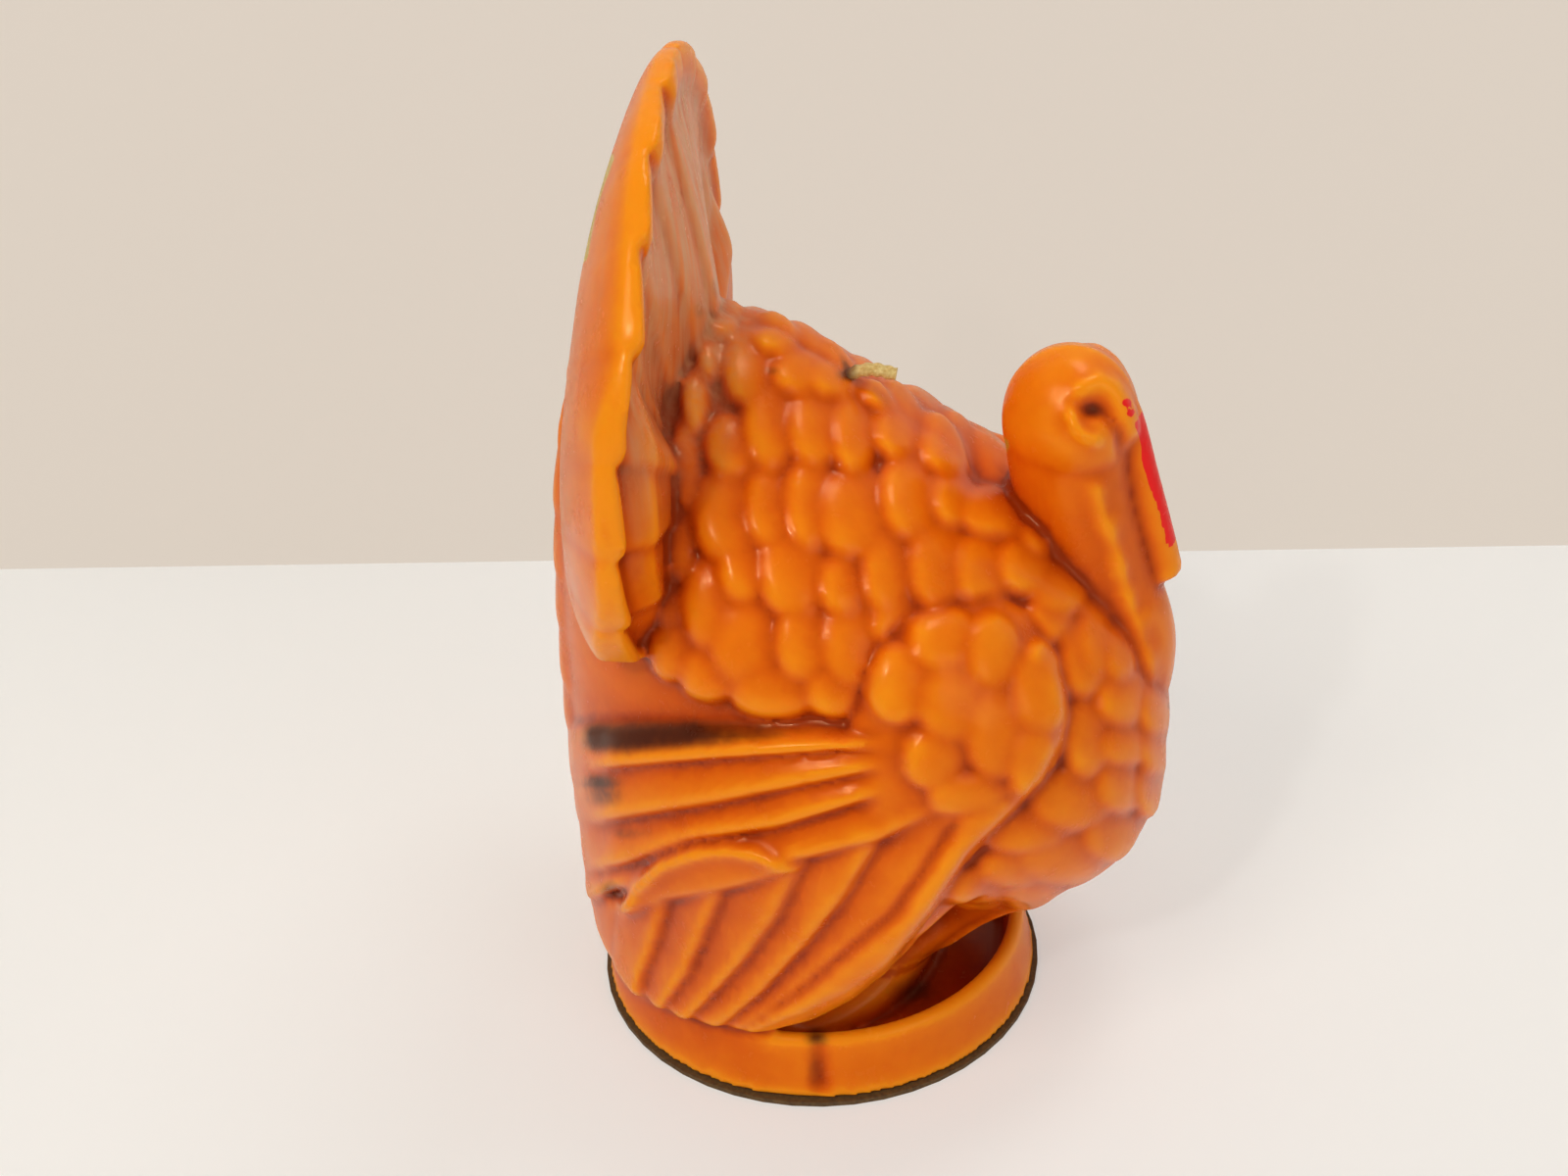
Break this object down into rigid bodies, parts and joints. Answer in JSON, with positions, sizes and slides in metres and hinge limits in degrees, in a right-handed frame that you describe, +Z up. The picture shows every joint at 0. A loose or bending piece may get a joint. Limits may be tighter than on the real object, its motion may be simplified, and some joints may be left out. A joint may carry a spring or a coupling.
{
  "type": "turkey figure",
  "caption": "Moulded wax turkey candle with a scalloped tail fan, ribbed wings and a round foot; stands on a table as a holiday decoration and can be lit by the wick on its back.",
  "frame": {"origin": "centre of the round foot's flat underside", "axes": "+X where the bird faces, +Z up from the foot to the tail's top, +Y to the bird's left; the mould parts on the plane Y = 0"},
  "size_m": [0.0899, 0.086, 0.1466],
  "materials": {
    "orange_wax": "satin moulded wax with brown pigment in its recesses",
    "yellow_wax": "poured wax, matt",
    "wick_cotton": "flat braid soaked with wax",
    "tinned_steel": "thin tinned sheet",
    "base_board": "matt board darkened by wax"
  },
  "bodies": {
    "root": {"wax_shell": "orange_wax", "wax_core": "yellow_wax", "wick": "wick_cotton", "wick_tab": "tinned_steel", "base_card": "base_board"}
  },
  "joints": []
}
